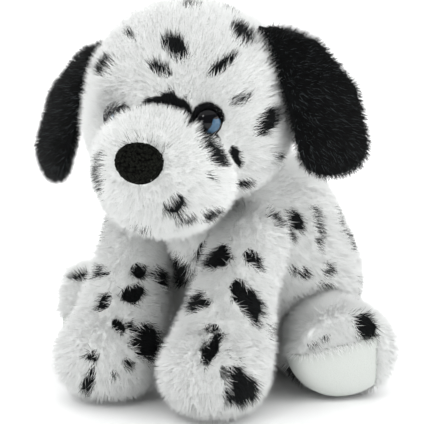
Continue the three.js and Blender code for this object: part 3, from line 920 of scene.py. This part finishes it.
for draw, side in enumerate(("left", "right")):
    dressed(
        front[side], "front_leg_" + side,
        [f"front_leg_{side}_outer", f"front_leg_{side}_inner"],
        front_panel, downwards, SPOTS_AND_SHADE["front_" + side], 41 + draw,
    )
    dressed(
        hind[side], "hind_leg_" + side,
        [f"hind_leg_{side}_upper", f"hind_leg_{side}_lower"],
        hind_panel(side), downwards, SPOTS_AND_SHADE["hind_" + side], 51 + draw,
    )
    sole_pad(side)
    dressed(
        ear[side], "ear_" + side, [f"ear_{side}_outer", f"ear_{side}_inner"],
        ear_panel, downwards, [], 61 + draw, length=6.0,
        all_black=True, width=0.38, dense=1.3,
    )
dressed(
    tail, "tail", ["tail_left", "tail_right"], side_of, downwards, SPOTS_AND_SHADE["tail"], 71, level=5,
)

# ---- eyes and nose -------------------------------------------------------------------
PUPIL = (0.002, 0.002, 0.003)
IRIS = (0.06, 0.125, 0.2)


def eye_colours(nodes, links, shader):
    attribute = nodes.new("ShaderNodeAttribute")
    attribute.attribute_name = "paint"
    noise = in_metres(nodes, links, nodes.new("ShaderNodeTexNoise"))
    noise.inputs["Scale"].default_value = 500
    tones = ramp(nodes, [(0.3, (0.85, 0.85, 0.85)), (0.7, (1, 1, 1))])
    links.new(noise.outputs["Fac"], tones.inputs["Fac"])
    multiplied(nodes, links, attribute.outputs["Color"], tones.outputs["Color"], shader)


EYE = material("eye plastic", eye_colours, 0.05, shine=0.3)
EYE_SHOWN = 0.9  # share of the eye's radius left clear of its setting
EYE_SETTLED = (-5.5, 0, -2.6)  # the right eye is pulled in closer to the muzzle
nudge = np.eye(3)
eye_normal = unit(
    field(eye_at + nudge, skull.balls, HEAD_BLEND) - field(eye_at - nudge, skull.balls, HEAD_BLEND)
)


def eye_frame(side):
    """Columns: outwards across the eye, up it, and out of it; then where it sits."""
    z = eye_normal
    x = unit(np.cross((0, 0, 1.0), z))
    m = np.eye(4)
    m[:3, 0], m[:3, 1], m[:3, 2], m[:3, 3] = x, np.cross(z, x), z, eye_at
    if side == "right":
        m = MIRROR @ m @ move(*EYE_SETTLED)
    return TO_ROW @ head_stand @ m


def dome_grid(rings, around, point):
    """A closed cap's points and faces: rings out from the middle, `point(t, angle)`."""
    points = [point(0, 0)]
    faces = []
    for i in range(1, rings + 1):
        for k in range(around):
            points.append(point(i / rings, 2 * math.pi * k / around))

    def ring(i, k):
        return 1 + (i - 1) * around + k % around

    for k in range(around):
        faces.append([0, ring(1, k), ring(1, k + 1)])
        for i in range(1, rings):
            faces.append([ring(i, k), ring(i + 1, k), ring(i + 1, k + 1), ring(i, k + 1)])
    faces.append([ring(rings, k) for k in range(around)][::-1])
    return np.array(points), faces


def facing_out(side, faces):
    """Faces of a piece mirrored on to the right side are turned back over."""
    return [f[::-1] for f in faces] if side == "right" else faces


def eye(side):
    """A glossy dome with its iris and pupil painted on."""
    base = -EYE_SINK + EYE_PLATE + EYE_LEDGE

    def point(t, angle):
        lean = t * math.pi / 2
        out = EYE_RADIUS * EYE_SHOWN * math.sin(lean)
        return out * math.cos(angle), out * math.sin(angle), base + EYE_HEIGHT * math.cos(lean)

    points, faces = dome_grid(24, 64, point)
    row = carried(eye_frame(side), points)
    made = mesh_object(f"eye_{side}", row, facing_out(side, faces), EYE, "head")
    mesh = made.data
    mesh.polygons.foreach_set("use_smooth", [len(f) < 5 for f in faces])
    across, up = points[:, 0], points[:, 1]
    iris = (np.hypot(across - 0.8, up + 0.6) < 6.1) & (up < 1.2)
    pupil = np.hypot(across + 7.0, up - 2.0) < 9.6
    colour = np.where((iris & ~pupil)[:, None], IRIS, PUPIL)
    colour = np.c_[colour, np.ones(len(colour))]
    paint = mesh.color_attributes.new("paint", "FLOAT_COLOR", "POINT")
    paint.data.foreach_set("color", colour.astype(np.float32).ravel())
    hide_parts(f"eye_{side}_dome")


LID_FROM = {"left": -8, "right": 60}  # degrees round the eye from its outer corner
LID_ARC = {"left": 200, "right": 45}
LID_THIN = 0.4  # the roll's radius at its ends
LID_THICK = {"left": 1.1, "right": 0.2}  # what its middle adds
LID_UP = 0.9  # how high the roll stands on the eye's edge
LID_STEPS, LID_ROUND = 40, 12  # facets along the roll and round it
FUZZ = {"left": 1500, "right": 160}  # short fibres on each lid


def on_lid(side, t, b):
    """A point of the felt roll, `t` along it and `b` round it, and the way out there."""
    angle = math.radians(LID_FROM[side] + LID_ARC[side] * t)
    thick = LID_THIN + LID_THICK[side] * math.sin(math.pi * t)
    ring = np.array([math.cos(angle), math.sin(angle), 0])
    out = ring * math.cos(b) + np.array([0, 0, math.sin(b)])
    middle = ring * (EYE_RADIUS * EYE_SHOWN + 0.1 + thick * 0.6) + (0, 0, LID_UP)
    return middle + out * thick, out


def lid_roll(side, stand):
    """A felt roll over the top of the eye, thickest in the middle."""
    turns = [2 * math.pi * k / LID_ROUND for k in range(LID_ROUND)]
    points = [on_lid(side, i / LID_STEPS, b)[0] for i in range(LID_STEPS + 1) for b in turns]
    faces = []
    for i in range(0, LID_STEPS * LID_ROUND, LID_ROUND):
        for k in range(LID_ROUND):
            j = (k + 1) % LID_ROUND
            faces.append([i + k, i + LID_ROUND + k, i + LID_ROUND + j, i + j])
    faces.append(list(range(LID_ROUND)))
    faces.append([LID_STEPS * LID_ROUND + k for k in range(LID_ROUND)][::-1])
    made = mesh_object(
        f"eyelid_{side}_roll", carried(stand, points), facing_out(side, faces), FELT, "head",
    )
    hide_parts(f"eyelid_{side}")


def lid_fuzz(side, stand, rng):
    """Short black fibres standing on the roll."""
    count = FUZZ[side]
    fuzz = []
    for _ in range(count):
        t, b = rng.uniform(0.03, 0.97), rng.uniform(-0.4, math.pi + 0.4)
        fuzz.append(on_lid(side, t, b))
    roots = carried(stand, np.array([at for at, out in fuzz]))
    out = unit(carried(stand, np.array([at + out for at, out in fuzz])) - roots)
    along = unit(out + rng.normal(size=out.shape) * 0.35)
    length = rng.uniform(0.9, 2.0, count)
    tones = rng.uniform(0.02, 0.5, count)
    fibres(
        f"eyelid_{side}_fuzz", roots - out * 0.2, out, along, length, np.full(count, 0.3), tones,
        "head", rng, EAR_PILE,
    )


for draw, side in enumerate(("left", "right")):
    eye(side)
    lid_roll(side, eye_frame(side))
    lid_fuzz(side, eye_frame(side), np.random.default_rng(81 + draw))


NOSE_SHOWN = (13.7, 9, 11.4)  # half its width, depth and height outside the pile
NOSE_WRAP = 105  # degrees the nose's skin goes round from its front
NOSE_SHIELD = 0.09  # how much wider it is at its top than half way
LOOP_HEIGHT = 0.3  # of the knit's loops
LOOP_ACROSS = 1.6


def nose():
    """The stuffed nose: a rounded shield of coarse knit, its loops standing up a little."""

    def point(t, angle):
        lean = t * math.radians(NOSE_WRAP)
        x = math.sin(lean) * math.cos(angle)
        z = math.sin(lean) * math.sin(angle)
        return x * (1 + NOSE_SHIELD * z), -math.cos(lean), z

    points, faces = dome_grid(110, 300, point)
    local = np.array(NOSE_AT) + points * NOSE_SHOWN
    local += points * (LOOP_HEIGHT * ripple(local, LOOP_ACROSS, 5))[:, None]
    made = mesh_object(
        "nose_knit_skin", carried(TO_ROW @ head_stand, local), faces, KNIT, "head",
    )
    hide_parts("nose_cloth")


nose()

# ---- CAD pieces kept as they are, with their own finishes ----------------------------
FINISHES = {
    "_stuffing": FILL,
    "_padding": FILL,
    "_pellets": BEADS,
    "_pellet_bag": BEADS,
    "_washer": WASHER,
    "_plate": PLASTIC,
    "neck_skin": NECK_CLOTH,
}
for name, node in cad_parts.items():
    for ending, look in FINISHES.items():
        if name.endswith(ending):
            node.data.materials.clear()
            node.data.materials.append(look)

# ---- studio -------------------------------------------------------------------------
FLOOR_HALF = 6  # metres
floor_mesh = bpy.data.meshes.new("floor")
corners = [(x * FLOOR_HALF, y * FLOOR_HALF, 0) for x, y in ((-1, -1), (1, -1), (1, 1), (-1, 1))]
floor_mesh.from_pydata(corners, [], [(0, 1, 2, 3)])
floor = bpy.data.objects.new("floor", floor_mesh)
bpy.context.scene.collection.objects.link(floor)
floor_mesh.materials.append(
    material("floor", speckled((0.93, 0.935, 0.935), (0.94, 0.945, 0.945), 2), 0.9)
)

SEEN = 1.0  # how bright the room looks
LIGHTING = 0.9  # and how strongly it lights the puppy
SCREENED = 0.7  # how much dimmer the room is in what shiny things mirror, as dark screens out of view would make it


def studio_world():
    world = bpy.data.worlds.new("studio")
    world.use_nodes = True
    nodes, links = world.node_tree.nodes, world.node_tree.links
    seen = nodes["Background"]
    lighting = nodes.new("ShaderNodeBackground")
    either = nodes.new("ShaderNodeMixShader")
    path = nodes.new("ShaderNodeLightPath")
    for background in (seen, lighting):
        background.inputs["Color"].default_value = (1, 1, 1, 1)
    seen.inputs["Strength"].default_value = SEEN
    screened = nodes.new("ShaderNodeMath")
    screened.operation = "MULTIPLY_ADD"
    screened.inputs[1].default_value = -SCREENED
    screened.inputs[2].default_value = LIGHTING
    links.new(path.outputs["Is Glossy Ray"], screened.inputs[0])
    links.new(screened.outputs[0], lighting.inputs["Strength"])
    links.new(path.outputs["Is Camera Ray"], either.inputs["Fac"])
    links.new(lighting.outputs[0], either.inputs[1])
    links.new(seen.outputs[0], either.inputs[2])
    links.new(either.outputs[0], nodes["World Output"].inputs["Surface"])
    return world


def area_light(name, at, towards, size, power):
    light = bpy.data.lights.new(name, "AREA")
    light.size = size
    light.energy = power
    lamp = bpy.data.objects.new(name, light)
    lamp.location = at
    lamp.rotation_euler = (Vector(towards) - Vector(at)).to_track_quat("-Z", "Y").to_euler()
    bpy.context.scene.collection.objects.link(lamp)


def softbox(name, energy, spread, tilt):
    """A wide soft light overhead; its spread and its two tilts are in degrees."""
    light = bpy.data.lights.new(name, "SUN")
    light.energy = energy
    light.angle = math.radians(spread)
    lamp = bpy.data.objects.new(name, light)
    lamp.rotation_euler = (math.radians(tilt[0]), math.radians(tilt[1]), 0)
    bpy.context.scene.collection.objects.link(lamp)


bpy.context.scene.world = studio_world()
bpy.context.scene.view_settings.view_transform = "Standard"
softbox("overhead softbox", 1.4, 110, (-8, -12))
area_light("key", (-1.0, -0.4, 1.1), (0, 0, 0.12), 1.0, 1.5)
area_light("side", (1.5, 0.3, 0.3), (0, 0, 0.08), 1.2, 12)
area_light("low front", (-0.3, -1.4, 0.05), (0, 0, 0.02), 0.8, 5)
area_light("back", (-0.4, 1.6, 0.8), (0, 0, 0.1), 1.2, 8)
area_light("catch light", (0.02, -0.9, 0.9), (0, -0.1, 0.17), 0.2, 1.1)

# ---- camera -------------------------------------------------------------------------
AZIMUTH, ELEVATION, DISTANCE = 30.0, 11.0, 1.1
TARGET = Vector((0, -0.066, 0.12))
SENSOR = 36.0
LENS = 155.7
SHIFT = (0.0236, -0.0448)  # shares of the frame's width
back = Vector(way_of(AZIMUTH, ELEVATION))
camera_data = bpy.data.cameras.new("camera")
camera_data.sensor_width = SENSOR
camera_data.lens = LENS
camera_data.shift_x, camera_data.shift_y = SHIFT
camera = bpy.data.objects.new("camera", camera_data)
camera.location = TARGET + back * DISTANCE
camera.rotation_mode = "QUATERNION"
camera.rotation_quaternion = (-back).to_track_quat("-Z", "Y")
bpy.context.scene.collection.objects.link(camera)
bpy.context.scene.camera = camera
